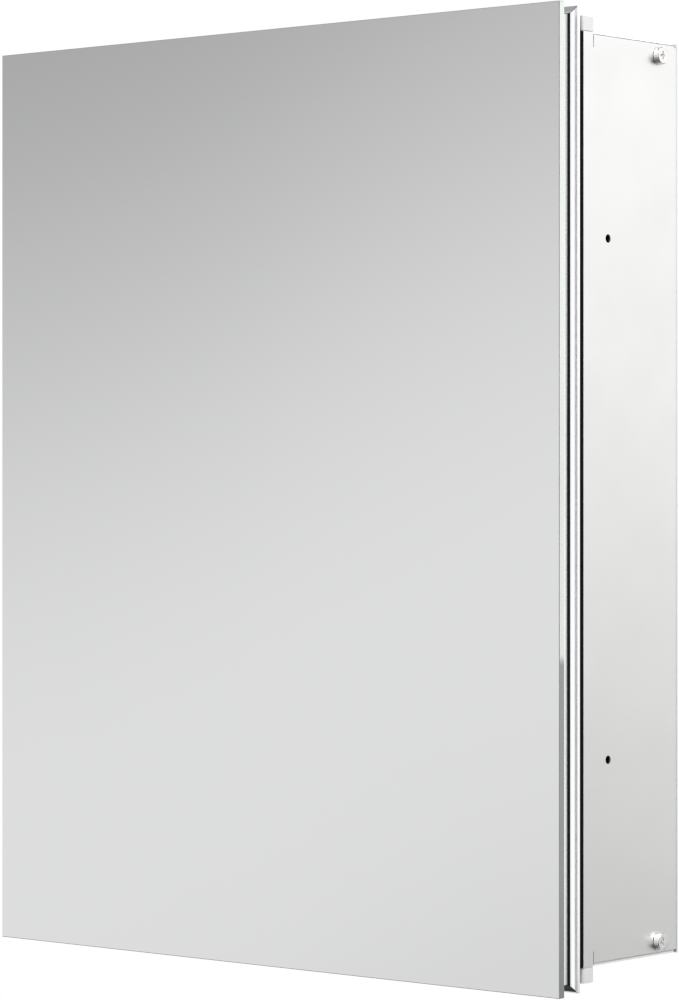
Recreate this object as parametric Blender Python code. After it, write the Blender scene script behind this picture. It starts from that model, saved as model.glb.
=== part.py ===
"""Recessed medicine cabinet with a frameless mirror door on a continuous hinge.

The origin is the centre of the back panel's rear face. +X is to the right, +Y is into the
wall and +Z is up. Lengths in this file are millimetres, and each mesh is scaled to metres.
"""
import math

import bpy
import bmesh
from mathutils import Matrix, Vector

MM = 0.001
NEAR = 0.01                    # points closer than this are the same point
GAP = 0.3                      # left between two pieces that touch
OVERRUN = 4.0                  # how far a cutter runs past the face it opens

# Driving dimensions
MIRROR_WIDTH = 520.0
MIRROR_HEIGHT = 660.0
TOTAL_DEPTH = 138.0
BODY_WIDTH = 517.0
BODY_HEIGHT = 625.3
BODY_DEPTH = 109.1
SHEET = 1.5                    # thickness of the folded body sheet
DOOR_THICKNESS = 24.5          # mirror's face to the rear of the door frame
GLASS = 5.7
TAPE = 0.8

# Places along Y
MIRROR_FRONT = -TOTAL_DEPTH
MIRROR_BACK = MIRROR_FRONT + GLASS
FRAME_FRONT = MIRROR_BACK + TAPE + 2 * GAP
DOOR_REAR = MIRROR_FRONT + DOOR_THICKNESS
BODY_FRONT = -BODY_DEPTH
AXIS_Y = (DOOR_REAR + BODY_FRONT) / 2

# Side panels
HALF_WIDTH = BODY_WIDTH / 2
HALF_HEIGHT = BODY_HEIGHT / 2
LIP_WIDTH = 14.5               # front lip, folded inwards
FLANGE_WIDTH = 13.5            # top and bottom flanges, folded inwards
BEND = 2.5                     # outer radius of the flanges' folds; the lips' folds are sharp
BAND_DEPTH = 11.0              # front band, which the relief slits mark off
SLIT_WIDTH = 0.6
SLIT_LENGTH = 10.0
REAR_LIP_WIDTH = 12.0          # rear lip, folded inwards in front of the back panel
FIXING_HOLE_R = 2.9
FIXING_HOLE_Y = -81.3
FIXING_HOLE_Z = 175.3

# Top and bottom panels, and the flange rails on them
PANEL_SIDE_GAP = 0.9           # clears the inside of the side panels' folds
RAIL_HEIGHT = 10.1
RAIL_SHEET = 1.2
RAIL_CORNER_R = 2.0            # of its upright front edges
RAIL_BEVEL = 0.3               # of its other edges

# Hanging studs near the rear corners of the sides
STUD_HEAD_R = 6.0
STUD_HEAD_HEIGHT = 3.9
STUD_HEAD_ROUND = 0.7
STUD_SHANK_R = 2.0
STUD_Y = -23.0
STUD_Z = 303.0
STUD_NUT_R = 4.6
STUD_NUT_HEIGHT = 3.2
STUD_NUT_BORE_R = 2.2
RECESS_REACH = 3.1             # cross recess, from the stud's axis to an arm's end
RECESS_HALF_WIDTH = 0.8
RECESS_DEPTH = 2.2
RECESS_FLOOR = 0.35            # size of the recess at its floor, as a share of its mouth

# Back panel and the mirror inside
BACK_HOLE_R = 2.5
BACK_HOLE_X = 239.8
BACK_HOLE_Z = 292.0
BACK_MIRROR_SIZE = (466.0, 568.0)
BACK_MIRROR_THICKNESS = 3.0
MIRROR_BEVEL = 0.4             # arris of both mirrors

# Shelves, their tracks and clips
TRACK_WIDTH = 12.0
TRACK_DEPTH = 3.0
TRACK_HALF_LENGTH = 285.0
TRACK_Y = (-70.0, -24.0)
SLOT_PITCH = 32.0
SLOT_COUNT = 17
SLOT_WIDTH = 5.0
SLOT_HEIGHT = 3.0
SHELF_SLOTS = (-3, 3)          # counted from the track's middle slot
SHELF_THICKNESS = 5.0
SHELF_BEVEL = 0.8
SHELF_SIDE_GAP = 0.8
SHELF_Y = (-92.0, -6.0)
CLIP_REACH = 12.0
CLIP_WIDTH = 4.4
CLIP_THICKNESS = 2.0
CLIP_PEG_TOP = 1.7             # below the shelf
CLIP_PEG_HEIGHT = 2.4
CLIP_LEG = 9.0

# Door frame: r is the distance inwards from the mirror's edge
WALL_R = 6.8                   # the frame's outer wall, behind the glass
REAR_FLANGE_R = 1.3
REAR_FLANGE_THICKNESS = 2.65
COVE = WALL_R - REAR_FLANGE_R  # radius of the hollow from the wall to the flange's edge
BAR_INNER_R = 25.6
LEDGE_R = 30.0
LEDGE_Y = (-117.2, -115.4)
CHAMBER_R = (8.8, 24.0)
CHAMBER_Y = (-129.4, -115.3)
MITRE_TRIM = 0.22
DOOR_PANEL_SHEET = 1.5
KEY_LEG = 42.0
TAPE_R = (9.0, 24.1)
TAPE_END_GAP = 25.0            # from the mirror's top and bottom edges

# Continuous hinge
AXIS_R = 2.6                   # the hinge axis, inwards from the mirror's left edge
KNUCKLE_R = 1.9
BORE_R = 1.1
PIN_R = 0.95
PIN_BEVEL = 0.2
PIN_OVERHANG = 2.0             # beyond the leaves' ends
LEAF = 0.9
LEAF_WIDTH = 13.2              # from the axis to the leaf's free edge
LEAF_HALF_LENGTH = 300.0
KNUCKLE_COUNT = 15
KNUCKLE_GAP = 0.4
LEAF_CUTBACK = 2.3             # from the axis, where the other leaf has a knuckle
LEAF_ROOT = 0.8                # how far a knuckle's root runs into its leaf
HINGE_RIVET_R = 11.0
BODY_RIVET_Z = (-240.0, 0.0, 240.0)
DOOR_RIVET_SHIFT = 24.0

# Rivets
RIVET_HEAD_R = 2.6
RIVET_HEAD_HEIGHT = 0.7
RIVET_SHANK_R = 1.4
RIVET_HOLE_R = 1.7
BODY_RIVET_SHANK = 3.6
DOOR_RIVET_SHANK = 4.0
STRIKE_RIVET_SHANK = 4.2
CATCH_RIVET_SHANK = 6.0

# Seal, magnet catch and strike plate
SEAL_WIDTH = 3.0
SEAL_ROUND = 0.8
SEAL_HINGE_GAP = 1.0           # from the hinge leaf to the level seals
CATCH_X = (232.8, 256.4)
CATCH_DEPTH = 15.0
CATCH_HALF_HEIGHT = 20.0
CATCH_BEVEL = 1.0
CATCH_RIVET_X = 248.0
MAGNET_X = (235.2, 243.2)
MAGNET_DEPTH = 15.0
MAGNET_HALF_HEIGHT = 13.0
MAGNET_BEVEL = 0.4
STRIKE_X = (234.6, 243.6)
STRIKE_THICKNESS = 1.0
STRIKE_HALF_HEIGHT = 23.0
STRIKE_RIVET_Z = 18.0

AXIS_X = -MIRROR_WIDTH / 2 + AXIS_R
RIVET_X = -MIRROR_WIDTH / 2 + HINGE_RIVET_R
DOOR_RIVET_Z = tuple(z + DOOR_RIVET_SHIFT for z in BODY_RIVET_Z)
HALF_TURN = math.pi


# ---------------------------------------------------------------- helpers

def remove_objects():
    for item in list(bpy.data.objects):
        bpy.data.objects.remove(item, do_unlink=True)


def material(name, colour, roughness, metallic):
    made = bpy.data.materials.new(name)
    made.use_nodes = True
    shader = made.node_tree.nodes["Principled BSDF"]
    shader.inputs["Base Color"].default_value = (*colour, 1.0)
    shader.inputs["Roughness"].default_value = roughness
    shader.inputs["Metallic"].default_value = metallic
    return made


def mesh_from(bm, name):
    """Turn a bmesh in millimetres into a mesh in metres, faces pointing out."""
    bmesh.ops.recalc_face_normals(bm, faces=bm.faces)
    return sheet_mesh_from(bm, name)


def sheet_mesh_from(bm, name):
    """Turn a bmesh in millimetres into a mesh in metres, faces left as they are."""
    bmesh.ops.scale(bm, vec=(MM, MM, MM), verts=bm.verts)
    mesh = bpy.data.meshes.new(name)
    bm.to_mesh(mesh)
    bm.free()
    return mesh


def place(name, mesh, look, location=(0, 0, 0), turn=None, parent=None):
    """Add a node: a mesh with its material, placed in millimetres under its parent."""
    node = bpy.data.objects.new(name, mesh)
    bpy.context.scene.collection.objects.link(node)
    if not mesh.materials:
        mesh.materials.append(look)
    spot = Vector(location) * MM
    if parent is not None:
        node.parent = parent
        spot = spot - parent.location
    node.location = spot
    if turn is not None:
        node.rotation_euler = turn
    return node


def cutter(name, bm, node):
    """Cut a closed mesh, given in world millimetres, out of a node."""
    tool = bpy.data.objects.new(name, mesh_from(bm, name))
    bpy.context.scene.collection.objects.link(tool)
    tool.hide_render = True
    tool.display_type = "WIRE"
    boolean = node.modifiers.new(name, "BOOLEAN")
    boolean.operation = "DIFFERENCE"
    boolean.solver = "EXACT"
    boolean.object = tool


def thicken(node, thickness):
    """Turn an open sheet, whose faces look outwards, into a plate behind them."""
    modifier = node.modifiers.new("sheet", "SOLIDIFY")
    modifier.thickness = thickness * MM
    modifier.offset = -1.0
    modifier.use_even_offset = True


def bevel(node, width, segments=1):
    modifier = node.modifiers.new("bevel", "BEVEL")
    modifier.width = width * MM
    modifier.segments = segments
    modifier.limit_method = "ANGLE"
    modifier.angle_limit = math.radians(40)


def smooth(mesh, angle=35):
    mesh.shade_smooth()
    mesh.set_sharp_from_angle(angle=math.radians(angle))


def arc(centre, radius, start, end, steps):
    """Points of an arc in a plane, angles in degrees."""
    points = []
    for i in range(steps + 1):
        angle = math.radians(start + (end - start) * i / steps)
        points.append((centre[0] + radius * math.cos(angle), centre[1] + radius * math.sin(angle)))
    return points


def circle(centre, radius, sides):
    return arc(centre, radius, 0, 360 * (sides - 1) / sides, sides - 1)


def add_box(bm, low, high):
    size = [b - a for a, b in zip(low, high)]
    centre = [(a + b) / 2 for a, b in zip(low, high)]
    matrix = Matrix.Translation(centre) @ Matrix.Diagonal((*size, 1.0))
    bmesh.ops.create_cube(bm, size=1.0, matrix=matrix)


def add_prism(bm, outline, start, end, to_point):
    """Extrude a plane outline; to_point(a, b, along) gives each vertex."""
    near = [bm.verts.new(to_point(a, b, start)) for a, b in outline]
    far = [bm.verts.new(to_point(a, b, end)) for a, b in outline]
    bm.faces.new(near)
    bm.faces.new(list(reversed(far)))
    for i in range(len(outline)):
        j = (i + 1) % len(outline)
        bm.faces.new((near[i], far[i], far[j], near[j]))


def add_turned(bm, profile, sides, to_point):
    """Turn a profile of (radius, along) points, which starts and ends on the axis."""
    rings = []
    for radius, along in profile:
        if radius == 0:
            rings.append([bm.verts.new(to_point(0, 0, along))])
            continue
        ring = []
        for i in range(sides):
            angle = 2 * math.pi * i / sides
            ring.append(bm.verts.new(to_point(radius * math.cos(angle), radius * math.sin(angle), along)))
        rings.append(ring)
    for below, above in zip(rings, rings[1:]):
        for i in range(sides):
            j = (i + 1) % sides
            corners = [below[i % len(below)], below[j % len(below)]]
            corners += [above[j % len(above)], above[i % len(above)]]
            bm.faces.new(list(dict.fromkeys(corners)))


def along_x(a, b, along):
    return (along, a, b)


def along_y(a, b, along):
    return (a, along, b)


def along_z(a, b, along):
    return (a, b, along)


def box_mesh(name, low, high):
    bm = bmesh.new()
    add_box(bm, low, high)
    return mesh_from(bm, name)


def drill(node, name, holes, to_point):
    """Cut round holes, each (a, b, start, end, radius), out of a node."""
    bm = bmesh.new()
    for a, b, start, end, radius in holes:
        add_prism(bm, circle((a, b), radius, 24), start, end, to_point)
    cutter(name, bm, node)


# ---------------------------------------------------------------- cabinet body

def side_columns():
    """Points (x, y) round a side panel's outer face, front lip to rear lip."""
    rear = -SHEET - GAP
    points = [(HALF_WIDTH - LIP_WIDTH, BODY_FRONT)]
    points.append((HALF_WIDTH, BODY_FRONT))
    slit = BODY_FRONT + BAND_DEPTH
    points += [(HALF_WIDTH, slit), (HALF_WIDTH, slit + SLIT_WIDTH)]
    points += [(HALF_WIDTH, rear - BEND), (HALF_WIDTH, rear), (HALF_WIDTH - REAR_LIP_WIDTH, rear)]
    return points


def side_levels(y):
    """Points (inset, z) up the outer face of the column that ends at y."""
    slit_start = BODY_FRONT + BAND_DEPTH + NEAR
    slit_end = BODY_FRONT + BAND_DEPTH + SLIT_WIDTH + NEAR
    flange_end = -SHEET - GAP - BEND + NEAR
    edge = HALF_HEIGHT - SLIT_LENGTH
    bend = HALF_HEIGHT - BEND
    middle = [(0.0, -edge), (0.0, edge)]
    if y <= slit_start:
        upper = [(0.0, bend), (0.0, HALF_HEIGHT)]
    elif y <= slit_end:
        upper = []
    elif y <= flange_end:
        upper = arc((-BEND, bend), BEND, 0, 90, 4) + [(-FLANGE_WIDTH, HALF_HEIGHT)]
    else:
        upper = [(0.0, bend)]
    return [(inset, -z) for inset, z in reversed(upper)] + middle + upper


def side_sheet(side):
    """Outer face of a side panel: web, lips, flanges and the relief slits."""
    bm = bmesh.new()
    columns = side_columns()
    for near, far in zip(columns, columns[1:]):
        rows = []
        for inset, z in side_levels(far[1]):
            rows.append([bm.verts.new((side * (x + inset), y, z)) for x, y in (near, far)])
        for low, high in zip(rows, rows[1:]):
            bm.faces.new((low[0], low[1], high[1], high[0]))
    bmesh.ops.remove_doubles(bm, verts=bm.verts, dist=NEAR)
    return bm


def side_panel(name, side, look):
    bm = side_sheet(side)
    bmesh.ops.recalc_face_normals(bm, faces=bm.faces)
    bm.normal_update()
    web = max(bm.faces, key=lambda face: face.calc_area())
    if web.normal.x * side < 0:
        bmesh.ops.reverse_faces(bm, faces=bm.faces)
    mesh = sheet_mesh_from(bm, name)
    smooth(mesh)
    node = place(name, mesh, look)
    thicken(node, SHEET)
    start, end = side * (HALF_WIDTH - OVERRUN), side * (HALF_WIDTH + OVERRUN)
    holes = [(FIXING_HOLE_Y, z, start, end, FIXING_HOLE_R) for z in (-FIXING_HOLE_Z, FIXING_HOLE_Z)]
    holes += [(STUD_Y, z, start, end, STUD_SHANK_R + GAP) for z in (-STUD_Z, STUD_Z)]
    drill(node, name + "_holes", holes, along_x)
    return node


def drill_lips(left, right):
    """Rivet holes in the front lips: the hinge's on the left, the catch's on the right."""
    start, end = BODY_FRONT - OVERRUN, BODY_FRONT + OVERRUN
    holes = [(RIVET_X, z, start, end, RIVET_HOLE_R) for z in BODY_RIVET_Z]
    drill(left, "left_lip_holes", holes, along_y)
    drill(right, "right_lip_hole", [(CATCH_RIVET_X, 0.0, start, end, RIVET_HOLE_R)], along_y)


def level_panel_mesh():
    """Top panel: a sheet whose front edge is a raised hem, flush with the side panels."""
    top = HALF_HEIGHT
    sheet_top = top - SHEET - GAP
    sheet_low = sheet_top - SHEET
    hem_back = BODY_FRONT + BAND_DEPTH - GAP
    rear = -SHEET - GAP
    outline = [(BODY_FRONT, sheet_low), (rear, sheet_low), (rear, sheet_top)]
    outline += [(hem_back, sheet_top), (hem_back, top), (BODY_FRONT, top)]
    half = HALF_WIDTH - SHEET - PANEL_SIDE_GAP
    bm = bmesh.new()
    add_prism(bm, outline, -half, half, along_x)
    return mesh_from(bm, "level_panel")


def level_panel(name, mesh, look, turn):
    """Top or bottom panel, cut back at its corners beside the side panels' lips."""
    node = place(name, mesh, look, turn=(0, turn, 0))
    bm = bmesh.new()
    front_cut = (LIP_WIDTH, BODY_FRONT - OVERRUN, BODY_FRONT + SHEET + GAP)
    rear_cut = (REAR_LIP_WIDTH, -2 * (SHEET + GAP), OVERRUN)
    outer = HALF_WIDTH + OVERRUN
    top = HALF_HEIGHT + OVERRUN
    for lip, start, end in (front_cut, rear_cut):
        inner = HALF_WIDTH - lip - GAP
        for left, right in ((-outer, -inner), (inner, outer)):
            add_box(bm, (left, start, -top), (right, end, top))
    cutter(name + "_corners", bm, node)


def is_front_upright(edge):
    a, b = (vertex.co for vertex in edge.verts)
    return max(a.y, b.y) < BODY_FRONT + NEAR and abs(a.x - b.x) < NEAR


def flange_rail_mesh():
    """Channel along the top front edge, closed at both ends and open to the rear."""
    low = HALF_HEIGHT + GAP
    bm = bmesh.new()
    add_box(bm, (-HALF_WIDTH, BODY_FRONT, low), (HALF_WIDTH, BODY_FRONT + BAND_DEPTH, low + RAIL_HEIGHT))
    corners = [edge for edge in bm.edges if is_front_upright(edge)]
    bmesh.ops.bevel(bm, geom=corners, offset=RAIL_CORNER_R, segments=4, profile=0.5, affect="EDGES")
    rear = max(bm.faces, key=lambda face: face.calc_center_median().y)
    bmesh.ops.delete(bm, geom=[rear], context="FACES_ONLY")
    return mesh_from(bm, "flange_rail")


def flange_rail(name, mesh, look, turn):
    node = place(name, mesh, look, turn=(0, turn, 0))
    thicken(node, RAIL_SHEET)
    bevel(node, RAIL_BEVEL)


def back_panel(look):
    corner = (HALF_WIDTH, 0.0, HALF_HEIGHT)
    mesh = box_mesh("back_panel", (-HALF_WIDTH, -SHEET, -HALF_HEIGHT), corner)
    node = place("back_panel", mesh, look)
    holes = []
    for x in (-BACK_HOLE_X, BACK_HOLE_X):
        for z in (-BACK_HOLE_Z, BACK_HOLE_Z):
            holes.append((x, z, -SHEET - OVERRUN, OVERRUN, BACK_HOLE_R))
    drill(node, "back_panel_holes", holes, along_y)


def back_mirror(look):
    x, z = (size / 2 for size in BACK_MIRROR_SIZE)
    rear = -SHEET - GAP
    mesh = box_mesh("back_mirror", (-x, rear - BACK_MIRROR_THICKNESS, -z), (x, rear, z))
    node = place("back_mirror", mesh, look)
    bevel(node, MIRROR_BEVEL)


def seal_mesh(name, length):
    """Rubber strip along X, 0 to its length, with its flat foot towards +Y."""
    depth = BODY_FRONT - DOOR_REAR - 2 * GAP
    r = SEAL_ROUND
    outline = arc((r, r), r, 270, 180, 4)
    outline += [(0.0, depth), (SEAL_WIDTH, depth)]
    outline += arc((SEAL_WIDTH - r, r), r, 0, -90, 4)
    bm = bmesh.new()
    add_prism(bm, outline, 0.0, length, lambda a, b, along: (along, b, a))
    mesh = mesh_from(bm, name)
    smooth(mesh)
    return mesh


def seals(look):
    front = DOOR_REAR + GAP
    edge = HALF_HEIGHT - GAP
    upright = seal_mesh("seal_strip_right", 2 * edge)
    place("seal_strip_right", upright, look, (HALF_WIDTH - GAP, front, -edge), (0, -HALF_TURN / 2, 0))
    start = AXIS_X + LEAF_WIDTH + SEAL_HINGE_GAP
    level = seal_mesh("seal_strip_level", HALF_WIDTH - SEAL_WIDTH - 2 * GAP - start)
    place("seal_strip_bottom", level, look, (start, front, -edge))
    place("seal_strip_top", level, look, (start, front, edge - SEAL_WIDTH))


# ---------------------------------------------------------------- studs and rivets

def stud_mesh():
    """Cheese-head stud along +X: head outside the panel at x = 0, shank inside."""
    bm = bmesh.new()
    shank = SHEET + 2 * GAP + STUD_NUT_HEIGHT + 1.0
    profile = [(0, -shank), (STUD_SHANK_R, -shank), (STUD_SHANK_R, GAP), (STUD_HEAD_R, GAP)]
    centre = (STUD_HEAD_R - STUD_HEAD_ROUND, GAP + STUD_HEAD_HEIGHT - STUD_HEAD_ROUND)
    crown = arc(centre, STUD_HEAD_ROUND, 0, 90, 3)
    add_turned(bm, profile + crown + [(0, GAP + STUD_HEAD_HEIGHT)], 24, along_x)
    return mesh_from(bm, "stud")


def cut_recess(node, z, side):
    """Cross recess in a stud's head, which narrows towards its floor."""
    arm = RECESS_REACH
    half = RECESS_HALF_WIDTH
    quarter = [(half, arm), (half, half), (arm, half)]
    outline = quarter + [(b, -a) for a, b in quarter] + [(-a, -b) for a, b in quarter]
    outline += [(-b, a) for a, b in quarter]
    top = HALF_WIDTH + GAP + STUD_HEAD_HEIGHT
    widening = (1 - RECESS_FLOOR) / RECESS_DEPTH

    def to_point(a, b, along):
        size = 1 + widening * (abs(along) - top)
        return (along, STUD_Y + a * size, z + b * size)

    bm = bmesh.new()
    add_prism(bm, outline, side * (top - RECESS_DEPTH), side * (top + GAP), to_point)
    cutter(node.name + "_recess", bm, node)


def nut_mesh():
    bm = bmesh.new()
    add_prism(bm, circle((0, 0), STUD_NUT_R, 6), 0.0, -STUD_NUT_HEIGHT, along_x)
    return mesh_from(bm, "nut")


def studs(metal):
    stud = stud_mesh()
    smooth(stud)
    nut = nut_mesh()
    for side, side_name in ((-1, "left"), (1, "right")):
        turn = (0, 0, HALF_TURN if side < 0 else 0)
        for level, level_name in ((-1, "lower"), (1, "upper")):
            label = f"{side_name}_{level_name}"
            z = level * STUD_Z
            node = place("hanging_stud_" + label, stud, metal, (side * HALF_WIDTH, STUD_Y, z), turn)
            cut_recess(node, z, side)
            inside = side * (HALF_WIDTH - SHEET - GAP)
            fixed = place("stud_nut_" + label, nut, metal, (inside, STUD_Y, z), turn)
            drill_nut(fixed, side, z)


def drill_nut(node, side, z):
    start = side * (HALF_WIDTH - SHEET + OVERRUN)
    end = side * (HALF_WIDTH - SHEET - STUD_NUT_HEIGHT - OVERRUN)
    drill(node, node.name + "_bore", [(STUD_Y, z, start, end, STUD_NUT_BORE_R)], along_x)


def rivet_mesh(shank):
    """Domed rivet along Y: head towards -Y from y = 0, shank towards +Y."""
    bm = bmesh.new()
    h = RIVET_HEAD_HEIGHT
    profile = [(0, -h), (RIVET_HEAD_R * 0.5, -0.9 * h), (RIVET_HEAD_R * 0.85, -0.6 * h)]
    profile += [(RIVET_HEAD_R, -0.25 * h), (RIVET_HEAD_R, 0), (RIVET_SHANK_R, 0), (RIVET_SHANK_R, shank)]
    add_turned(bm, profile + [(0, shank)], 12, along_y)
    mesh = mesh_from(bm, "rivet")
    smooth(mesh)
    return mesh


# ---------------------------------------------------------------- shelves

def track_mesh():
    """Slotted strip, centred on its width and length, thickness towards +X."""
    bm = bmesh.new()
    across = [-TRACK_WIDTH / 2, -SLOT_WIDTH / 2, SLOT_WIDTH / 2, TRACK_WIDTH / 2]
    levels = [-TRACK_HALF_LENGTH]
    for i in range(SLOT_COUNT):
        centre = (i - (SLOT_COUNT - 1) / 2) * SLOT_PITCH
        levels += [centre - SLOT_HEIGHT / 2, centre + SLOT_HEIGHT / 2]
    levels.append(TRACK_HALF_LENGTH)
    grid = [[bm.verts.new((0, y, z)) for y in across] for z in levels]
    for row in range(len(levels) - 1):
        is_slot_row = row % 2 == 1
        for column in range(3):
            if is_slot_row and column == 1:
                continue
            a, b = grid[row][column], grid[row][column + 1]
            c, d = grid[row + 1][column + 1], grid[row + 1][column]
            bm.faces.new((a, b, c, d))
    return sheet_mesh_from(bm, "track")


def shelf_tracks(look):
    mesh = track_mesh()
    for side, side_name in ((-1, "left"), (1, "right")):
        for y, depth_name in zip(TRACK_Y, ("front", "rear")):
            x = side * (HALF_WIDTH - SHEET - GAP)
            turn = (0, 0, HALF_TURN if side < 0 else 0)
            node = place(f"shelf_track_{side_name}_{depth_name}", mesh, look, (x, y, 0), turn)
            thicken(node, TRACK_DEPTH)


def clip_mesh():
    """Shelf clip for the right side: tongue towards -X, peg towards +X, shelf at z = 0."""
    t = CLIP_THICKNESS
    back = -GAP
    peg = TRACK_DEPTH - GAP
    peg_low = -CLIP_PEG_TOP - CLIP_PEG_HEIGHT
    outline = [(back - CLIP_REACH, -GAP), (back, -GAP), (back, -CLIP_PEG_TOP), (peg, -CLIP_PEG_TOP)]
    outline += [(peg, peg_low), (back, peg_low), (back, -CLIP_LEG), (back - t, -CLIP_LEG)]
    outline += [(back - t, -GAP - t), (back - CLIP_REACH, -GAP - t)]
    bm = bmesh.new()
    add_prism(bm, outline, -CLIP_WIDTH / 2, CLIP_WIDTH / 2, along_y)
    return mesh_from(bm, "shelf_clip")


def shelves(glass, metal):
    half = HALF_WIDTH - SHEET - GAP - TRACK_DEPTH - SHELF_SIDE_GAP
    shelf = box_mesh("shelf", (-half, SHELF_Y[0], 0.0), (half, SHELF_Y[1], SHELF_THICKNESS))
    clip = clip_mesh()
    for slot, level in zip(SHELF_SLOTS, ("lower", "upper")):
        z = slot * SLOT_PITCH + CLIP_PEG_TOP + CLIP_PEG_HEIGHT / 2
        node = place("glass_shelf_" + level, shelf, glass, (0, 0, z))
        bevel(node, SHELF_BEVEL, segments=2)
        for side, side_name in ((-1, "left"), (1, "right")):
            for y, depth_name in zip(TRACK_Y, ("front", "rear")):
                x = side * (HALF_WIDTH - SHEET - GAP - TRACK_DEPTH)
                turn = (0, 0, HALF_TURN if side < 0 else 0)
                name = f"shelf_clip_{level}_{side_name}_{depth_name}"
                place(name, clip, metal, (x, y, z), turn)


# ---------------------------------------------------------------- magnet catch

def catch(plastic, magnet_look, rivet_look):
    """Magnet catch behind the right side panel's front lip, held by one rivet."""
    front = BODY_FRONT + SHEET + GAP
    z = CATCH_HALF_HEIGHT
    mesh = box_mesh("catch_housing", (CATCH_X[0], front, -z), (CATCH_X[1], front + CATCH_DEPTH, z))
    housing = place("catch_housing", mesh, plastic)
    magnet_front = DOOR_REAR + 2 * GAP + STRIKE_THICKNESS
    magnet_back = magnet_front + MAGNET_DEPTH
    z = MAGNET_HALF_HEIGHT
    bm = bmesh.new()
    low = (MAGNET_X[0] - GAP, front - OVERRUN, -z - GAP)
    high = (MAGNET_X[1] + GAP, magnet_back + GAP, z + GAP)
    add_box(bm, low, high)
    cutter("catch_pocket", bm, housing)
    mesh = box_mesh("catch_magnet", (MAGNET_X[0], magnet_front, -z), (MAGNET_X[1], magnet_back, z))
    magnet = place("catch_magnet", mesh, magnet_look)
    bevel(magnet, MAGNET_BEVEL)
    hole = [(CATCH_RIVET_X, 0.0, front - OVERRUN, front + CATCH_RIVET_SHANK, RIVET_HOLE_R)]
    drill(housing, "catch_rivet_hole", hole, along_y)
    bevel(housing, CATCH_BEVEL, segments=2)
    rivet = rivet_mesh(CATCH_RIVET_SHANK)
    place("catch_rivet", rivet, rivet_look, (CATCH_RIVET_X, BODY_FRONT - GAP, 0))


def strike_plate(look, rivet_look, bar, pivot):
    """Steel plate on the right door bar, which the magnet holds, with its two rivets."""
    front = DOOR_REAR + GAP
    z = STRIKE_HALF_HEIGHT
    mesh = box_mesh("strike_plate", (STRIKE_X[0], front, -z), (STRIKE_X[1], front + STRIKE_THICKNESS, z))
    plate = place("strike_plate", mesh, look, parent=pivot)
    x = sum(STRIKE_X) / 2
    levels = (-STRIKE_RIVET_Z, STRIKE_RIVET_Z)
    holes = [(x, z, DOOR_REAR - OVERRUN, DOOR_REAR + OVERRUN, RIVET_HOLE_R) for z in levels]
    drill(plate, "strike_holes", holes, along_y)
    drill(bar, "strike_bar_holes", holes, along_y)
    rivet = rivet_mesh(STRIKE_RIVET_SHANK)
    for z, label in zip(levels, ("lower", "upper")):
        spot = (x, front + STRIKE_THICKNESS + GAP, z)
        place("strike_rivet_" + label, rivet, rivet_look, spot, (0, 0, HALF_TURN), pivot)


# ---------------------------------------------------------------- door

def bar_outline():
    """Section of a door frame bar as (r, y) points."""
    flange_front = DOOR_REAR - REAR_FLANGE_THICKNESS
    outline = [(WALL_R, FRAME_FRONT)]
    outline += arc((REAR_FLANGE_R, flange_front - COVE), COVE, 0, 90, 12)
    outline += [(REAR_FLANGE_R, DOOR_REAR), (BAR_INNER_R, DOOR_REAR), (BAR_INNER_R, LEDGE_Y[1])]
    outline += [(LEDGE_R, LEDGE_Y[1]), (LEDGE_R, LEDGE_Y[0]), (BAR_INNER_R, LEDGE_Y[0])]
    outline += [(BAR_INNER_R, FRAME_FRONT)]
    return outline


def bar_mesh(name, length, reach):
    """Mitred bar along X below the door's centre, reach down to the mirror's edge."""
    bm = bmesh.new()
    outline = bar_outline()
    ends = []
    for side in (-1, 1):
        end = [bm.verts.new((side * (length / 2 - r - MITRE_TRIM), y, r - reach)) for r, y in outline]
        ends.append(end)
    bm.faces.new(ends[0])
    bm.faces.new(list(reversed(ends[1])))
    for i in range(len(outline)):
        j = (i + 1) % len(outline)
        bm.faces.new((ends[0][i], ends[1][i], ends[1][j], ends[0][j]))
    mesh = mesh_from(bm, name)
    smooth(mesh, 25)
    return mesh


def hollow_bar(node, length, reach, turn):
    bm = bmesh.new()
    end = length / 2 + OVERRUN
    low = (-end, CHAMBER_Y[0], CHAMBER_R[0] - reach)
    high = (end, CHAMBER_Y[1], CHAMBER_R[1] - reach)
    add_box(bm, low, high)
    bmesh.ops.rotate(bm, cent=(0, 0, 0), matrix=Matrix.Rotation(turn, 3, "Y"), verts=bm.verts)
    cutter(node.name + "_chamber", bm, node)


def door_frame(look, pivot):
    """Four mitred bars: the bottom bar's shape, turned about Y for the others."""
    level = (MIRROR_WIDTH, MIRROR_HEIGHT / 2)
    upright = (MIRROR_HEIGHT, MIRROR_WIDTH / 2)
    level_mesh = bar_mesh("door_bar_level", *level)
    upright_mesh = bar_mesh("door_bar_upright", *upright)
    quarter = HALF_TURN / 2
    layout = (("bottom", level_mesh, level, 0.0), ("left", upright_mesh, upright, quarter))
    layout += (("top", level_mesh, level, 2 * quarter), ("right", upright_mesh, upright, 3 * quarter))
    bars = {}
    for label, mesh, size, turn in layout:
        node = place("door_frame_" + label, mesh, look, turn=(0, turn, 0), parent=pivot)
        hollow_bar(node, *size, turn)
        bars[label] = node
    return bars


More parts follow.
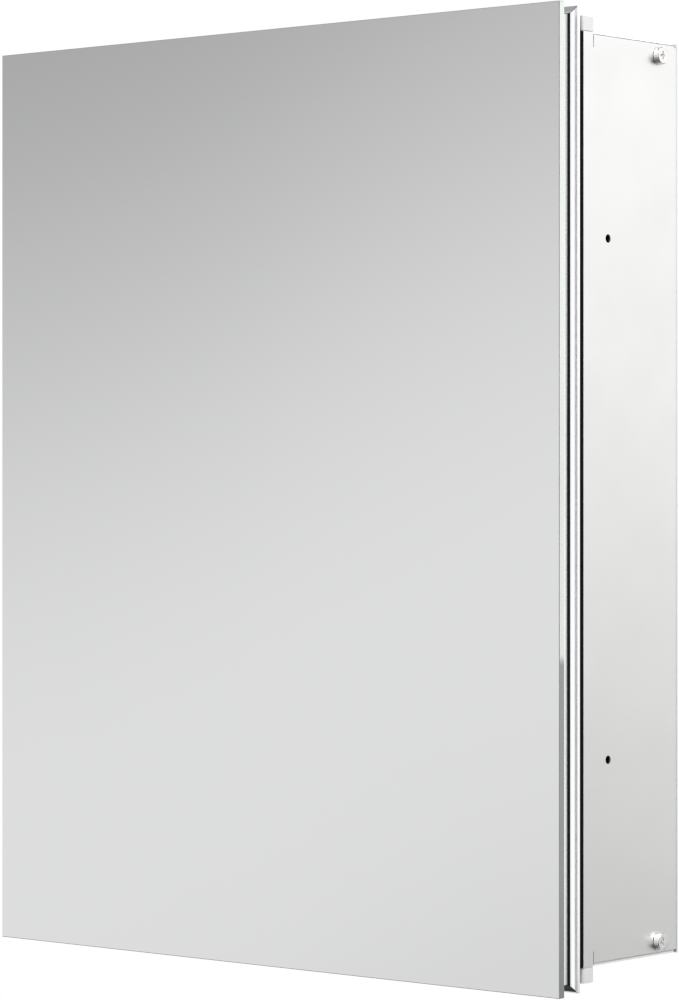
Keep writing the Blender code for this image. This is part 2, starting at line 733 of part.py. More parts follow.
def corner_keys(look, pivot):
    """L-shaped keys inside the bars' chambers, one at each mitre."""
    low = CHAMBER_R[0] + GAP
    high = CHAMBER_R[1] - GAP
    outline = [(low, low), (low + KEY_LEG, low), (low + KEY_LEG, high), (high, high)]
    outline += [(high, low + KEY_LEG), (low, low + KEY_LEG)]
    bm = bmesh.new()
    add_prism(bm, outline, CHAMBER_Y[0] + GAP, CHAMBER_Y[1] - GAP, along_y)
    mesh = mesh_from(bm, "corner_key")
    corners = (("bottom_left", -1, -1, 0), ("top_left", -1, 1, 1))
    corners += (("top_right", 1, 1, 2), ("bottom_right", 1, -1, 3))
    for label, across, up, quarters in corners:
        spot = (across * MIRROR_WIDTH / 2, 0, up * MIRROR_HEIGHT / 2)
        turn = (0, quarters * HALF_TURN / 2, 0)
        place("corner_key_" + label, mesh, look, spot, turn, pivot)


def mirror_glass(look, pivot):
    x = MIRROR_WIDTH / 2
    z = MIRROR_HEIGHT / 2
    mesh = box_mesh("mirror_glass", (-x, MIRROR_FRONT, -z), (x, MIRROR_BACK, z))
    node = place("mirror_glass", mesh, look, parent=pivot)
    bevel(node, MIRROR_BEVEL)


def mirror_tapes(look, pivot):
    """Strips that hold the mirror on the upright bars."""
    front = MIRROR_BACK + GAP
    z = MIRROR_HEIGHT / 2 - TAPE_END_GAP
    for side, label in ((-1, "left"), (1, "right")):
        edges = sorted(side * (MIRROR_WIDTH / 2 - r) for r in TAPE_R)
        mesh = box_mesh("mirror_tape", (edges[0], front, -z), (edges[1], front + TAPE, z))
        place("mirror_tape_" + label, mesh, look, parent=pivot)


def door_back_panel(look, pivot):
    x = MIRROR_WIDTH / 2 - BAR_INNER_R - GAP
    z = MIRROR_HEIGHT / 2 - BAR_INNER_R - GAP
    front = LEDGE_Y[1] + GAP
    mesh = box_mesh("door_back_panel", (-x, front, -z), (x, front + DOOR_PANEL_SHEET, z))
    place("door_back_panel", mesh, look, parent=pivot)


# ---------------------------------------------------------------- hinge

def knuckle_spans(first):
    """Lower and upper end of every second knuckle along the hinge."""
    pitch = 2 * LEAF_HALF_LENGTH / KNUCKLE_COUNT
    spans = []
    for i in range(first, KNUCKLE_COUNT, 2):
        low = -LEAF_HALF_LENGTH + i * pitch
        spans.append((low + KNUCKLE_GAP / 2, low + pitch - KNUCKLE_GAP / 2))
    return spans


def knuckle_section(facing):
    """Knuckle with the root of its leaf, about the axis; facing is the leaf's side in Y."""
    inner = KNUCKLE_R - LEAF
    overlap = LEAF_CUTBACK + LEAF_ROOT
    meets = math.degrees(math.asin(inner / KNUCKLE_R))
    outline = [(overlap, facing * KNUCKLE_R)]
    outline += arc((0, 0), KNUCKLE_R, facing * 90, facing * (360 + meets), 15)
    outline.append((overlap, facing * inner))
    return outline


def knuckles(name, spans, facing):
    """Guide with every knuckle of a leaf, which the leaf joins onto itself."""
    bm = bmesh.new()
    section = [(AXIS_X + a, AXIS_Y + b) for a, b in knuckle_section(facing)]
    for low, high in spans:
        add_prism(bm, section, low, high, along_z)
    guide = bpy.data.objects.new(name, mesh_from(bm, name))
    bpy.context.scene.collection.objects.link(guide)
    guide.hide_render = True
    guide.display_type = "WIRE"
    return guide


def hinge_leaf(name, first, facing, rivets, look, parent=None):
    """Leaf of the continuous hinge; facing is -1 on the door and 1 on the body."""
    inner, outer = sorted((facing * (KNUCKLE_R - LEAF), facing * KNUCKLE_R))
    low = (LEAF_CUTBACK, inner, -LEAF_HALF_LENGTH)
    mesh = box_mesh(name, low, (LEAF_WIDTH, outer, LEAF_HALF_LENGTH))
    node = place(name, mesh, look, (AXIS_X, AXIS_Y, 0), parent=parent)
    join = node.modifiers.new("knuckles", "BOOLEAN")
    join.operation = "UNION"
    join.solver = "EXACT"
    join.object = knuckles(name + "_knuckles", knuckle_spans(first), facing)
    bm = bmesh.new()
    end = LEAF_HALF_LENGTH + OVERRUN
    add_prism(bm, circle((AXIS_X, AXIS_Y), BORE_R, 12), -end, end, along_z)
    cutter(name + "_bore", bm, node)
    holes = [(RIVET_X, z, AXIS_Y - OVERRUN, AXIS_Y + OVERRUN, RIVET_HOLE_R) for z in rivets]
    drill(node, name + "_holes", holes, along_y)


def hinge_rivets(look, pivot):
    inner = KNUCKLE_R - LEAF - GAP
    body = rivet_mesh(BODY_RIVET_SHANK)
    door = rivet_mesh(DOOR_RIVET_SHANK)
    for z, label in zip(BODY_RIVET_Z, ("lower", "middle", "upper")):
        place("hinge_rivet_body_" + label, body, look, (RIVET_X, AXIS_Y + inner, z))
        spot = (RIVET_X, AXIS_Y - inner, z + DOOR_RIVET_SHIFT)
        place("hinge_rivet_door_" + label, door, look, spot, (0, 0, HALF_TURN), pivot)


def hinge_pin(look):
    end = LEAF_HALF_LENGTH + PIN_OVERHANG
    tip = PIN_R - PIN_BEVEL
    bm = bmesh.new()
    profile = [(0, -end), (tip, -end), (PIN_R, PIN_BEVEL - end)]
    profile += [(PIN_R, end - PIN_BEVEL), (tip, end), (0, end)]
    add_turned(bm, profile, 16, along_z)
    mesh = mesh_from(bm, "hinge_pin")
    smooth(mesh)
    place("hinge_pin", mesh, look, (AXIS_X, AXIS_Y, 0))


def looks():
    """One material for each kind of finish: colour, roughness, metallic."""
    return {
        "body": material("body_metal", (0.80, 0.80, 0.79), 0.42, 1.0),
        "frame": material("polished_frame", (0.86, 0.86, 0.87), 0.14, 1.0),
        "mirror": material("mirror", (0.84, 0.85, 0.86), 0.02, 1.0),
        "glass": material("shelf_glass", (0.72, 0.82, 0.78), 0.05, 0.0),
        "steel": material("hinge_steel", (0.62, 0.62, 0.63), 0.30, 1.0),
        "chrome": material("stud_chrome", (0.90, 0.90, 0.90), 0.08, 1.0),
        "rubber": material("seal_rubber", (0.012, 0.012, 0.012), 0.65, 0.0),
        "plastic": material("white_plastic", (0.85, 0.85, 0.84), 0.45, 0.0),
        "magnet": material("magnet", (0.10, 0.10, 0.11), 0.55, 0.2),
        "tape": material("foam_tape", (0.80, 0.80, 0.78), 0.90, 0.0),
    }


def build_cabinet(look):
    left = side_panel("side_panel_left", -1, look["body"])
    right = side_panel("side_panel_right", 1, look["body"])
    drill_lips(left, right)
    level = level_panel_mesh()
    level_panel("top_panel", level, look["body"], 0.0)
    level_panel("bottom_panel", level, look["body"], HALF_TURN)
    rail = flange_rail_mesh()
    flange_rail("flange_rail_top", rail, look["body"], 0.0)
    flange_rail("flange_rail_bottom", rail, look["body"], HALF_TURN)
    back_panel(look["body"])
    back_mirror(look["mirror"])
    seals(look["rubber"])
    studs(look["chrome"])
    shelf_tracks(look["frame"])
    shelves(look["glass"], look["steel"])
    catch(look["plastic"], look["magnet"], look["steel"])


def build_door(look, pivot):
    mirror_glass(look["mirror"], pivot)
    mirror_tapes(look["tape"], pivot)
    bars = door_frame(look["frame"], pivot)
    start, end = DOOR_REAR - OVERRUN, DOOR_REAR + OVERRUN
    holes = [(RIVET_X, z, start, end, RIVET_HOLE_R) for z in DOOR_RIVET_Z]
    drill(bars["left"], "left_bar_holes", holes, along_y)
    corner_keys(look["plastic"], pivot)
    door_back_panel(look["body"], pivot)
    strike_plate(look["steel"], look["steel"], bars["right"], pivot)


def build_hinge(look, pivot):
    hinge_leaf("hinge_leaf_body", 0, 1, BODY_RIVET_Z, look["steel"])
    hinge_leaf("hinge_leaf_door", 1, -1, DOOR_RIVET_Z, look["steel"], pivot)
    hinge_pin(look["steel"])
    hinge_rivets(look["steel"], pivot)


def build():
    remove_objects()
    pivot = bpy.data.objects.new("door_pivot", None)
    bpy.context.scene.collection.objects.link(pivot)
    pivot.location = Vector((AXIS_X, AXIS_Y, 0)) * MM
    look = looks()
    build_cabinet(look)
    build_door(look, pivot)
    build_hinge(look, pivot)


build()
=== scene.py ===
"""Looks of the recessed mirror cabinet: materials, glass pieces, floor, lights and camera."""
import math

import bmesh
import bpy
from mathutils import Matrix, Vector


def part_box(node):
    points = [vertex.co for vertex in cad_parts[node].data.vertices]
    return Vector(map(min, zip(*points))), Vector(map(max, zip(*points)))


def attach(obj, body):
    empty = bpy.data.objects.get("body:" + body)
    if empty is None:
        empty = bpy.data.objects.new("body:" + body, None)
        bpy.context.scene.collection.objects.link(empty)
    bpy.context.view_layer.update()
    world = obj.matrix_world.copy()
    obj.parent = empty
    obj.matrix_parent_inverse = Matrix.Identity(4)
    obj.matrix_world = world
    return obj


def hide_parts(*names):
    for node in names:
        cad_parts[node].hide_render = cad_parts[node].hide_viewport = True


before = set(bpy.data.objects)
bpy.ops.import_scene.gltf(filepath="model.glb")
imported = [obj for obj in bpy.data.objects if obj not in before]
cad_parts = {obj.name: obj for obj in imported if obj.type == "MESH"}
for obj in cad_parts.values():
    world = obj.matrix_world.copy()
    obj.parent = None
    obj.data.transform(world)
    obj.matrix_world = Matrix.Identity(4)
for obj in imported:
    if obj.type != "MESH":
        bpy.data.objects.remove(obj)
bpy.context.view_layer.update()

MM = 0.001

# Camera
CAMERA_PLACE = (1.7550, -2.1444, 0.0201)
CAMERA_AZIMUTH = math.radians(40.02)
CAMERA_LENS = 136.08
CAMERA_SHIFT_Y = -0.0307

# Painted reflection on the mirror's edge: the height below which the edge is painted darker, as if it
# mirrored darker surroundings, the grey that multiplies it there, and half the height of the step between
# the tones
PAINTED_EDGE_REFLECTION = (-0.106, 0.40)
HALF_STEP = 4 * MM

# Span of a texture's values that is spread over a material's two tones or two roughnesses
TEXTURE_SPAN = (0.25, 0.75)

# Arrises of the glass pieces: width and number of segments
MIRROR_ARRIS = (0.4 * MM, 1)
SHELF_ARRIS = (1.2 * MM, 3)

# A face whose normal is this near to an axis is one of a glass piece's flat sides
FLAT = 0.98

# Lamps: name, place, what it points at, size and power in watts
LAMPS = (
    ("key", (2.1, -0.2, 1.5), (0.26, -0.05, 0.25), (1.4, 1.0), 26),
    ("front", (0.9, -2.6, 1.9), (0, -0.1, 0), (1.6, 1.2), 24),
    ("rear", (-0.9, 1.9, 1.2), (0, 0, 0), (1.4, 1.2), 24),
    ("side", (1.29, 1.17, 0.75), (0.26, -0.05, 0.0), (1.6, 1.4), 1.2),
)

# Studio screen: (place, grey) from high above the horizon to far below it, how quickly its
# slope to the side dies away, and that slope
SCREEN_STOPS = (
    (0.0, 0.40), (0.22, 0.36), (0.356, 0.425), (0.404, 0.515), (0.468, 0.690),
    (0.535, 0.790), (0.61, 0.765), (0.65, 0.730), (0.80, 0.66), (1.0, 0.55),
)
SCREEN_NARROWNESS = 44.0
SCREEN_SIDE_SLOPE = 0.58

# Sines of elevation that the screen's and the pale side's ramps run between, and the span of
# the level direction, from -1 at the screen to 1 at the pale side, over which they are mixed
RAMP_SPAN = (-0.5, 0.5)
TURN_SPAN = (-0.45, 0.25)

# Pale side of the studio: (place, grey) from far below the horizon to high above it
BRIGHT_STOPS = ((0.0, 1.0), (0.10, 0.50), (0.18, 0.10), (0.34, 0.10), (0.372, 1.10), (1.0, 1.15))

# Round patches laid on the studio in this order: the angle of the middle, level from +X towards
# +Y, and its rise, both in degrees; the angles from the middle where the patch starts and stops
# fading; its grey; and the sines of elevation between which it also fades out, or None
PATCHES = (
    (-75, 0, 24, 42, 1.15, (0.20, 0.45)),      # pale front, which the frame's hollow mirrors
    (3, 0, 27, 33, 0.012, (0.20, 0.40)),       # black flag, the dark line in that hollow
    (130, 0, 32, 48, 0.36, None),              # grey behind the cabinet
    (100, 38, 24, 36, 0.04, None),             # dark above the rear, for the upper folds
    (-170, -45, 38, 46, 0.04, None),           # dark low on the left, for the bottom mitre
    (-15, -45, 24, 36, 0.02, None),            # dark low on the right, for the studs' undersides
)

# Floor disc
FLOOR_Z = -1.45
FLOOR_R = 0.60
FLOOR_FADE_R = 0.30
FLOOR_SIDES = 128

# Places of a Mix node's colour sockets, which share their names with its other sockets
MIX_INPUTS = (0, 6, 7)
MIX_RESULT = 2


# ---------------------------------------------------------------- node helpers

def add(tree, kind, **values):
    """Add a shader node; each value sets a property of the node or an input by its name."""
    node = tree.nodes.new(kind)
    for name, value in values.items():
        if hasattr(node, name):
            setattr(node, name, value)
        else:
            node.inputs[name.replace("_", " ")].default_value = value
    return node


def math_node(tree, operation, *values):
    """A Math node's output; values are numbers or other outputs."""
    node = tree.nodes.new("ShaderNodeMath")
    node.operation = operation
    for socket, value in zip(node.inputs, values):
        if isinstance(value, bpy.types.NodeSocket):
            tree.links.new(value, socket)
        else:
            socket.default_value = value
    return node.outputs[0]


def map_range(tree, value, low, high, to_low, to_high, smooth=False):
    node = add(tree, "ShaderNodeMapRange", clamp=True)
    node.interpolation_type = "SMOOTHSTEP" if smooth else "LINEAR"
    for name, number in (("From Min", low), ("From Max", high), ("To Min", to_low), ("To Max", to_high)):
        node.inputs[name].default_value = number
    tree.links.new(value, node.inputs["Value"])
    return node.outputs["Result"]


def ramp(tree, value, stops, interpolation="LINEAR"):
    """A colour ramp's output; stops are (place, colour)."""
    node = tree.nodes.new("ShaderNodeValToRGB")
    node.color_ramp.interpolation = interpolation
    elements = node.color_ramp.elements
    while len(elements) < len(stops):
        elements.new(0.5)
    for element, (place, colour) in zip(elements, stops):
        element.position = place
        element.color = (*colour, 1.0)
    tree.links.new(value, node.inputs["Fac"])
    return node.outputs["Color"]


def noise(tree, scale, stretch=(1, 1, 1), detail=3.0, roughness=0.5):
    """Noise at so many cells per metre; stretch scales each axis."""
    place = add(tree, "ShaderNodeTexCoord")
    mapping = add(tree, "ShaderNodeMapping")
    mapping.inputs["Scale"].default_value = stretch
    tree.links.new(place.outputs["Object"], mapping.inputs["Vector"])
    texture = add(tree, "ShaderNodeTexNoise", Scale=scale, Detail=detail, Roughness=roughness)
    tree.links.new(mapping.outputs["Vector"], texture.inputs["Vector"])
    return texture.outputs["Fac"]


def voronoi(tree, scale):
    place = add(tree, "ShaderNodeTexCoord")
    texture = add(tree, "ShaderNodeTexVoronoi", Scale=scale)
    tree.links.new(place.outputs["Object"], texture.inputs["Vector"])
    return texture.outputs["Distance"]


def by_height(tree, colour, level, below):
    """Multiply a colour by a grey below a level in metres, over a soft step."""
    place = add(tree, "ShaderNodeTexCoord")
    axes = add(tree, "ShaderNodeSeparateXYZ")
    tree.links.new(place.outputs["Object"], axes.inputs["Vector"])
    share = map_range(tree, axes.outputs["Z"], level - HALF_STEP, level + HALF_STEP, below, 1.0, smooth=True)
    node = add(tree, "ShaderNodeVectorMath", operation="SCALE")
    tree.links.new(colour, node.inputs[0])
    tree.links.new(share, node.inputs["Scale"])
    return node.outputs["Vector"]


def bump(tree, shader, height, strength, distance):
    """Bump the surface; strength is a share of the full effect and distance is in metres."""
    node = add(tree, "ShaderNodeBump", Strength=strength, Distance=distance)
    tree.links.new(height, node.inputs["Height"])
    tree.links.new(node.outputs["Normal"], shader.inputs["Normal"])


def start(name, metallic=0.0, **sockets):
    """A new material with its tree and shader; sockets are set on the shader by name."""
    made = bpy.data.materials.new(name)
    made.use_nodes = True
    tree = made.node_tree
    shader = tree.nodes["Principled BSDF"]
    shader.inputs["Metallic"].default_value = metallic
    for socket, value in sockets.items():
        shader.inputs[socket.replace("_", " ")].default_value = value
    return made, tree, shader


def colour_between(tree, shader, value, dark, light, step=None):
    """Colour the shader between two tones; step is a level and the grey that it has below it."""
    low, high = TEXTURE_SPAN
    colour = ramp(tree, value, ((low, dark), (high, light)))
    if step is not None:
        colour = by_height(tree, colour, *step)
    tree.links.new(colour, shader.inputs["Base Color"])


def roughness_between(tree, shader, value, low, high):
    tree.links.new(map_range(tree, value, *TEXTURE_SPAN, low, high), shader.inputs["Roughness"])


# ---------------------------------------------------------------- materials

def grained_metal(name, dark, light, rough, grain, depth, along):
    """Metal with fine lines along one axis: grain is (lines per metre, cells per metre along)."""
    made, tree, shader = start(name, metallic=1.0)
    across, length = grain
    stretch = [across, across, across]
    stretch["xyz".index(along)] = length
    lines = noise(tree, 1.0, stretch, detail=4.0, roughness=0.6)
    clouds = noise(tree, 9.0, detail=3.0)
    colour_between(tree, shader, clouds, dark, light)
    roughness_between(tree, shader, lines, *rough)
    bump(tree, shader, lines, depth, 0.04 * MM)
    return made


def body_sheet():
    """Satin sheet metal: a fine even grain, and slow clouding in its tone."""
    made, tree, shader = start("body_satin", metallic=1.0)
    clouds = noise(tree, 7.0, detail=4.0)
    grain = noise(tree, 1900.0, detail=2.0)
    colour_between(tree, shader, clouds, (0.835, 0.835, 0.829), (0.865, 0.865, 0.859))
    patches = noise(tree, 26.0, detail=5.0, roughness=0.6)
    roughness_between(tree, shader, patches, 0.36, 0.41)
    bump(tree, shader, grain, 0.10, 0.03 * MM)
    return made


def anodised():
    """Pale anodised skin of the flange rails: nearly matt, with a very fine drawn grain."""
    made, tree, shader = start("pale_anodised", metallic=0.08)
    grain = noise(tree, 1.0, (14, 2400, 2400), detail=3.0)
    colour_between(tree, shader, noise(tree, 30.0), (0.77, 0.77, 0.77), (0.81, 0.81, 0.81))
    roughness_between(tree, shader, grain, 0.45, 0.58)
    bump(tree, shader, grain, 0.10, 0.03 * MM)
    return made


def silver():
    """The mirror's reflecting face, with a faint bloom where it has been wiped."""
    made, tree, shader = start("mirror_silver", metallic=1.0)
    haze = noise(tree, 5.0, (1.0, 1.0, 0.45), detail=4.0)
    colour_between(tree, shader, haze, (0.925, 0.930, 0.930), (0.935, 0.938, 0.938))
    roughness_between(tree, shader, haze, 0.008, 0.022)
    return made


def ground_edge(name, dark, light, along_scale, rough, metallic=0.0, step=None):
    """Ground and polished glass edge, with fine grinding lines.

    Light that enters the edge comes back out of it nearly as from a mirror, so the pale edge of
    a silvered glass is partly metallic. step paints a darker reflection on it below a level.
    """
    made, tree, shader = start(name, metallic=metallic, IOR=1.52, Coat_Weight=0.35, Coat_Roughness=0.06)
    lines = noise(tree, 1.0, along_scale, detail=4.0)
    colour_between(tree, shader, lines, dark, light, step)
    roughness_between(tree, shader, lines, *rough)
    bump(tree, shader, lines, 0.08, 0.03 * MM)
    return made


def backing_paint():
    """Pale protective paint on the back of a mirror, with an orange-peel skin."""
    made, tree, shader = start("mirror_backing_paint")
    peel = noise(tree, 420.0, detail=3.0)
    colour_between(tree, shader, noise(tree, 18.0), (0.86, 0.87, 0.87), (0.91, 0.92, 0.92))
    roughness_between(tree, shader, peel, 0.42, 0.58)
    bump(tree, shader, peel, 0.25, 0.06 * MM)
    return made


def clear_glass():
    made, tree, shader = start("shelf_clear_glass", IOR=1.52, Transmission_Weight=1.0)
    smears = noise(tree, 14.0, (1.0, 2.0, 1.0), detail=4.0)
    colour_between(tree, shader, smears, (0.945, 0.975, 0.962), (0.960, 0.982, 0.972))
    roughness_between(tree, shader, smears, 0.005, 0.030)
    return made


# Near-black, nearly sheenless rubber for the seal strips: partly the seals' own black, partly painted shade
# standing in for the deep shadow in the gaps they fill
def rubber():
    made, tree, shader = start("black_rubber")
    skin = noise(tree, 1500.0, detail=3.0)
    shader.inputs["Specular IOR Level"].default_value = 0.05
    colour_between(tree, shader, noise(tree, 60.0), (0.002, 0.002, 0.002), (0.005, 0.005, 0.005))
    roughness_between(tree, shader, skin, 0.62, 0.78)
    bump(tree, shader, skin, 0.25, 0.05 * MM)
    return made


def moulded_plastic():
    made, tree, shader = start("moulded_white_plastic", IOR=1.49)
    texture = noise(tree, 2600.0, detail=2.0)
    colour_between(tree, shader, noise(tree, 40.0), (0.80, 0.80, 0.785), (0.84, 0.84, 0.825))
    roughness_between(tree, shader, texture, 0.38, 0.50)
    bump(tree, shader, texture, 0.20, 0.05 * MM)
    return made


def ferrite():
    made, tree, shader = start("ferrite_magnet", metallic=0.25)
    grains = noise(tree, 900.0, detail=5.0, roughness=0.7)
    colour_between(tree, shader, grains, (0.035, 0.035, 0.038), (0.075, 0.075, 0.080))
    roughness_between(tree, shader, grains, 0.45, 0.70)
    bump(tree, shader, grains, 0.30, 0.08 * MM)
    return made


def foam():
    made, tree, shader = start("white_foam_tape")
    cells = voronoi(tree, 1700.0)
    colour_between(tree, shader, cells, (0.66, 0.66, 0.64), (0.80, 0.80, 0.78))
    shader.inputs["Roughness"].default_value = 0.92
    bump(tree, shader, cells, 0.50, 0.20 * MM)
    return made


def plated(name, dark, light):
    """Nickel plate on small hardware: bright, with fine handling marks."""
    made, tree, shader = start(name, metallic=1.0)
    marks = noise(tree, 700.0, (1.0, 3.0, 0.4), detail=4.0, roughness=0.7)
    colour_between(tree, shader, noise(tree, 90.0), dark, light)
    roughness_between(tree, shader, marks, 0.16, 0.28)
    bump(tree, shader, marks, 0.06, 0.03 * MM)
    return made


def pale_floor():
    """Pale matt floor that fades out towards the edge of its disc."""
    made, tree, shader = start("pale_floor")
    colour_between(tree, shader, noise(tree, 2.5), (0.80, 0.80, 0.80), (0.84, 0.84, 0.84))
    roughness_between(tree, shader, noise(tree, 60.0), 0.80, 0.90)
    place = add(tree, "ShaderNodeTexCoord")
    length = add(tree, "ShaderNodeVectorMath", operation="LENGTH")
    tree.links.new(place.outputs["Object"], length.inputs[0])
    fade = map_range(tree, length.outputs["Value"], FLOOR_FADE_R, FLOOR_R, 1.0, 0.0, smooth=True)
    tree.links.new(fade, shader.inputs["Alpha"])
    return made


# ---------------------------------------------------------------- pieces

def look(material, *names):
    """Give CAD nodes a material by filling their material slots."""
    for name in names:
        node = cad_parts[name]
        if not node.material_slots:
            node.data.materials.append(material)
        for holder in node.material_slots:
            holder.material = material


def named(*starts):
    return [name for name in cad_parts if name.startswith(starts)]


def slab(name, low, high, arris, materials, thin):
    """A glass slab with bevelled edges.

    arris is its width and number of segments. materials are those of its two broad faces, low
    side and high side, of its edges and of its arrises; thin is the axis that it is thin along.
    """
    width, segments = arris
    bm = bmesh.new()
    bmesh.ops.create_cube(bm, size=1.0)
    size = [b - a for a, b in zip(low, high)]
    centre = [(a + b) / 2 for a, b in zip(low, high)]
    bmesh.ops.scale(bm, vec=size, verts=bm.verts)
    bmesh.ops.translate(bm, vec=centre, verts=bm.verts)
    bmesh.ops.bevel(bm, geom=bm.edges[:], offset=width, segments=segments, profile=0.5, affect="EDGES")
    bm.normal_update()
    axis = "xyz".index(thin)
    for face in bm.faces:
        along = face.normal[axis]
        if abs(along) > FLAT:
            face.material_index = 0 if along < 0 else 1
        elif max(abs(value) for value in face.normal) > FLAT:
            face.material_index = 2
        else:
            face.material_index = 3
            face.smooth = segments > 1
    mesh = bpy.data.meshes.new(name)
    bm.to_mesh(mesh)
    bm.free()
    for material in materials:
        mesh.materials.append(material)
    piece = bpy.data.objects.new(name, mesh)
    bpy.context.scene.collection.objects.link(piece)
    return piece


def glass_pieces(made):
    low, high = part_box("mirror_glass")
    faces = (made["silver"], made["backing"], made["edge"], made["arris"])
    door = slab("door_mirror", low, high, MIRROR_ARRIS, faces, "y")
    low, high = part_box("back_mirror")
    back = slab("inside_mirror", low, high, MIRROR_ARRIS, faces, "y")
    pieces = [(door, "door", "mirror_glass", "mirror"), (back, "cabinet", "back_mirror", "mirror")]
    clear = (made["glass"], made["glass"], made["shelf_edge"], made["shelf_edge"])
    for level in ("lower", "upper"):
        low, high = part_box("glass_shelf_" + level)
        shelf = slab("shelf_" + level, low, high, SHELF_ARRIS, clear, "z")
        pieces.append((shelf, "cabinet", "glass_shelf_" + level, "shelf_glass"))
    for piece, body, node, slot in pieces:
        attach(piece, body)
        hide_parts(node)


def dress_frame(made):
    level = made["frame_level"]
    upright = made["frame_upright"]
    look(level, "door_frame_top", "door_frame_bottom")
    look(upright, "door_frame_left", "door_frame_right")
    look(upright, *named("shelf_track"))
    look(made["body"], *named("side_panel", "top_panel", "bottom_panel"))
    look(made["rail"], *named("flange_rail"))
    look(made["body"], "back_panel", "door_back_panel")
    look(made["steel"], *named("hinge_", "shelf_clip", "strike_", "catch_rivet"))
    look(made["nickel"], *named("hanging_stud", "stud_nut"))
    # the seal strips' near-black is partly painted shade for the deep gaps they sit in
    look(made["rubber"], *named("seal_strip"))
    look(made["plastic"], *named("corner_key", "catch_housing"))
    look(made["ferrite"], "catch_magnet")
    look(made["foam"], *named("mirror_tape"))


def all_materials():
    # Metals: dark tone, light tone, roughness, grain and the depth of its lines
    polished = ((0.890, 0.895, 0.900), (0.915, 0.918, 0.922), (0.07, 0.12), (2600, 9), 0.03)
    steel = ((0.56, 0.56, 0.565), (0.66, 0.66, 0.66), (0.22, 0.36), (3500, 40), 0.15)
    # Edges of the glass: dark tone and light tone, and the grinding lines on each axis
    edge = ((0.66, 0.70, 0.66), (0.76, 0.79, 0.76))
    arris = ((0.16, 0.19, 0.17), (0.26, 0.29, 0.27))
    green = ((0.20, 0.42, 0.34), (0.30, 0.52, 0.44))
    mirror_lines = (60, 1500, 60)
    shelf_lines = (60, 60, 1500)
    return {
        "body": body_sheet(),
        "rail": anodised(),
        "frame_level": grained_metal("polished_bar_level", *polished, "x"),
        "frame_upright": grained_metal("polished_bar_upright", *polished, "z"),
        "steel": grained_metal("brushed_steel", *steel, "z"),
        "nickel": plated("nickel_plate", (0.74, 0.735, 0.72), (0.80, 0.79, 0.775)),
        "silver": silver(),
        "backing": backing_paint(),
        # the mirror's edge is painted darker below a height, a painted reflection of darker surroundings
        "edge": ground_edge("mirror_edge", *edge, mirror_lines, (0.14, 0.24), 0.7, PAINTED_EDGE_REFLECTION),
        "arris": ground_edge("mirror_arris", *arris, mirror_lines, (0.25, 0.40)),
        "glass": clear_glass(),
        "shelf_edge": ground_edge("shelf_edge", *green, shelf_lines, (0.06, 0.14)),
        "rubber": rubber(),
        "plastic": moulded_plastic(),
        "ferrite": ferrite(),
        "foam": foam(),
    }


# ---------------------------------------------------------------- studio

def floor():
    bm = bmesh.new()
    bmesh.ops.create_circle(bm, cap_ends=True, segments=FLOOR_SIDES, radius=FLOOR_R)
    mesh = bpy.data.meshes.new("floor")
    bm.to_mesh(mesh)
    bm.free()
    mesh.materials.append(pale_floor())
    disc = bpy.data.objects.new("floor", mesh)
    disc.location = (0, 0, FLOOR_Z)
    bpy.context.scene.collection.objects.link(disc)


def lamp(name, place, target, size, power):
    data = bpy.data.lights.new(name, "AREA")
    data.shape = "RECTANGLE"
    data.size, data.size_y = size
    data.energy = power
    item = bpy.data.objects.new(name, data)
    item.location = place
    item.rotation_euler = (Vector(target) - Vector(place)).to_track_quat("-Z", "Y").to_euler()
    item.visible_camera = False
    bpy.context.scene.collection.objects.link(item)


def dot(tree, direction, towards):
    node = add(tree, "ShaderNodeVectorMath", operation="DOT_PRODUCT")
    node.inputs[1].default_value = towards
    tree.links.new(direction, node.inputs[0])
    return node.outputs["Value"]


def mix(tree, share, first, second):
    """Colour first where share is 0 and second where it is 1; second may be a grey level."""
    node = add(tree, "ShaderNodeMix", data_type="RGBA")
    share_input, first_input, second_input = (node.inputs[place] for place in MIX_INPUTS)
    tree.links.new(share, share_input)
    tree.links.new(first, first_input)
    if isinstance(second, float):
        second_input.default_value = (second, second, second, 1.0)
    else:
        tree.links.new(second, second_input)
    return node.outputs[MIX_RESULT]


def greys(*stops):
    return [(spot, (grey, grey, grey)) for spot, grey in stops]


def patch(tree, colour, direction, angle, rise, inner, outer, grey, heights):
    """Lay a soft-edged round patch of one grey on the studio; PATCHES says what each value is."""
    turn, rise = math.radians(angle), math.radians(rise)
    towards = (math.cos(rise) * math.cos(turn), math.cos(rise) * math.sin(turn), math.sin(rise))
    share = dot(tree, direction, towards)
    low, high = math.cos(math.radians(outer)), math.cos(math.radians(inner))
    share = map_range(tree, share, low, high, 0.0, 1.0, smooth=True)
    if heights is not None:
        level = math_node(tree, "ABSOLUTE", dot(tree, direction, (0, 0, 1)))
        fade = map_range(tree, level, *heights, 1.0, 0.0, smooth=True)
        share = math_node(tree, "MULTIPLY", share, fade)
    return mix(tree, share, colour, grey)


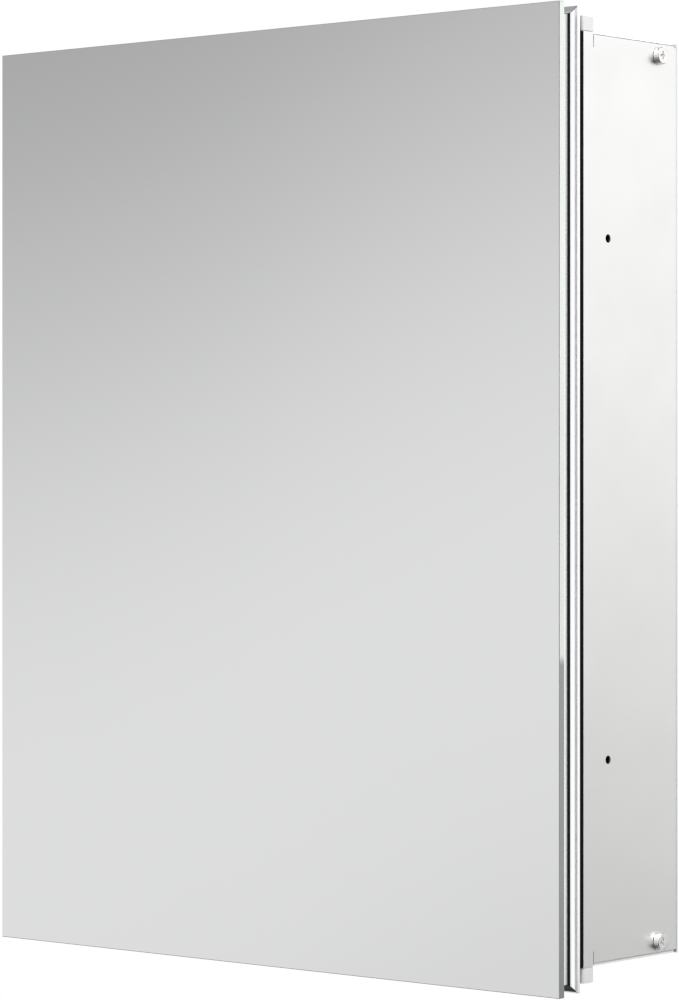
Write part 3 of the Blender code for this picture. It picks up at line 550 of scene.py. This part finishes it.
def studio_world():
    """Soft studio all round: pale behind and on the right, with a graded grey screen in front.

    along runs from the graded screen to the pale side and across runs along the screen, both
    level. The screen is darkest above and on one side, and palest just below the horizon. It is
    white where the camera sees it.
    """
    world = bpy.data.worlds.new("studio")
    bpy.context.scene.world = world
    world.use_nodes = True
    tree = world.node_tree
    background = tree.nodes["Background"]
    direction = add(tree, "ShaderNodeTexCoord").outputs["Generated"]
    level_x, level_y = math.sin(CAMERA_AZIMUTH), math.cos(CAMERA_AZIMUTH)
    along = dot(tree, direction, (level_x, level_y, 0))
    across = dot(tree, direction, (level_y, -level_x, 0))
    up = dot(tree, direction, (0, 0, 1))
    square = math_node(tree, "MULTIPLY", across, across)
    spread = math_node(tree, "MULTIPLY_ADD", square, SCREEN_NARROWNESS, 1.0)
    side = math_node(tree, "DIVIDE", across, spread)
    tilt = math_node(tree, "SUBTRACT", math_node(tree, "MULTIPLY", side, SCREEN_SIDE_SLOPE), up)
    place = map_range(tree, tilt, *RAMP_SPAN, 0.0, 1.0)
    screen = ramp(tree, place, greys(*SCREEN_STOPS), "B_SPLINE")
    height = map_range(tree, up, *RAMP_SPAN, 0.0, 1.0)
    bright = ramp(tree, height, greys(*BRIGHT_STOPS))
    turn = map_range(tree, along, *TURN_SPAN, 0.0, 1.0, smooth=True)
    colour = mix(tree, turn, screen, bright)
    for values in PATCHES:
        colour = patch(tree, colour, direction, *values)
    path = add(tree, "ShaderNodeLightPath")
    tree.links.new(mix(tree, path.outputs["Is Camera Ray"], colour, 1.0), background.inputs["Color"])
    background.inputs["Strength"].default_value = 1.0


def camera():
    data = bpy.data.cameras.new("camera")
    data.lens = CAMERA_LENS
    data.sensor_width = 36.0
    data.shift_y = CAMERA_SHIFT_Y
    data.clip_start = 0.05
    data.clip_end = 60.0
    item = bpy.data.objects.new("camera", data)
    item.location = CAMERA_PLACE
    item.rotation_euler = (math.pi / 2, 0, CAMERA_AZIMUTH)
    bpy.context.scene.collection.objects.link(item)
    bpy.context.scene.camera = item


def main():
    bpy.context.scene.view_settings.view_transform = "Standard"
    camera()
    made = all_materials()
    dress_frame(made)
    glass_pieces(made)
    floor()
    for values in LAMPS:
        lamp(*values)
    studio_world()


main()
